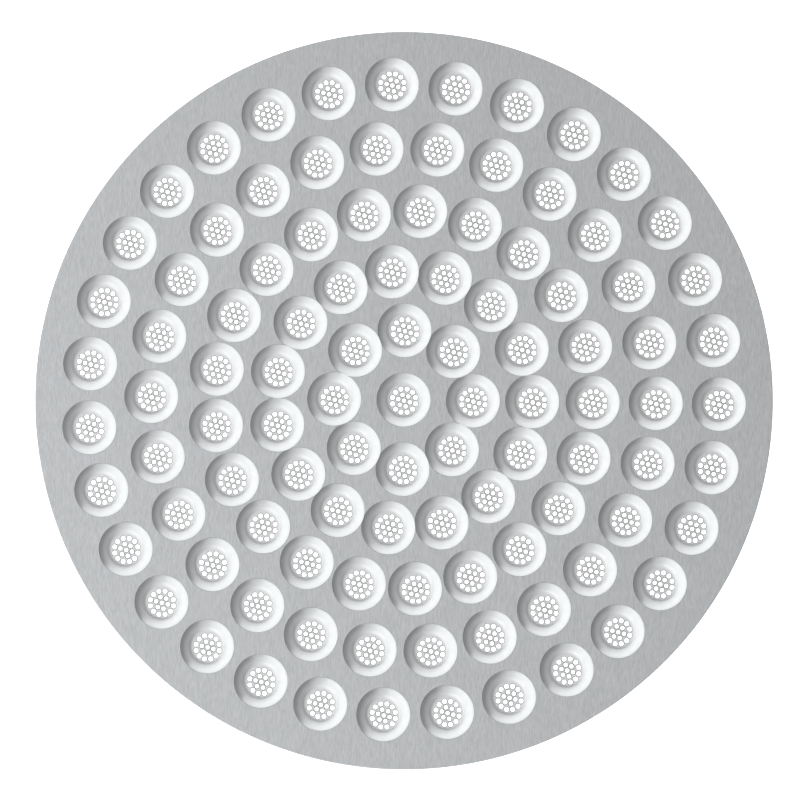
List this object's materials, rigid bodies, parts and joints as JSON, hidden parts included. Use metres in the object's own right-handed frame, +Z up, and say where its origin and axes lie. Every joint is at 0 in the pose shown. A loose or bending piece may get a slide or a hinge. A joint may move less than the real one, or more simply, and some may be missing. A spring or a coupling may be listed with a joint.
{
  "type": "espresso puck screen",
  "caption": "Thin round stainless steel screen with rings of perforated wells, laid on the coffee bed in a portafilter basket to spread the water evenly.",
  "frame": {"origin": "centre of the flat underside", "axes": "+Z up through the disc, out of the side with the wells; +X close to the line on which each ring of wells starts"},
  "size_m": [0.0584, 0.0584, 0.0008],
  "materials": {
    "stainless_steel": "fine straight brushing on the flat face and rim, smoother bright wells"
  },
  "bodies": {
    "root": {"puck_screen": "stainless_steel"}
  },
  "joints": []
}
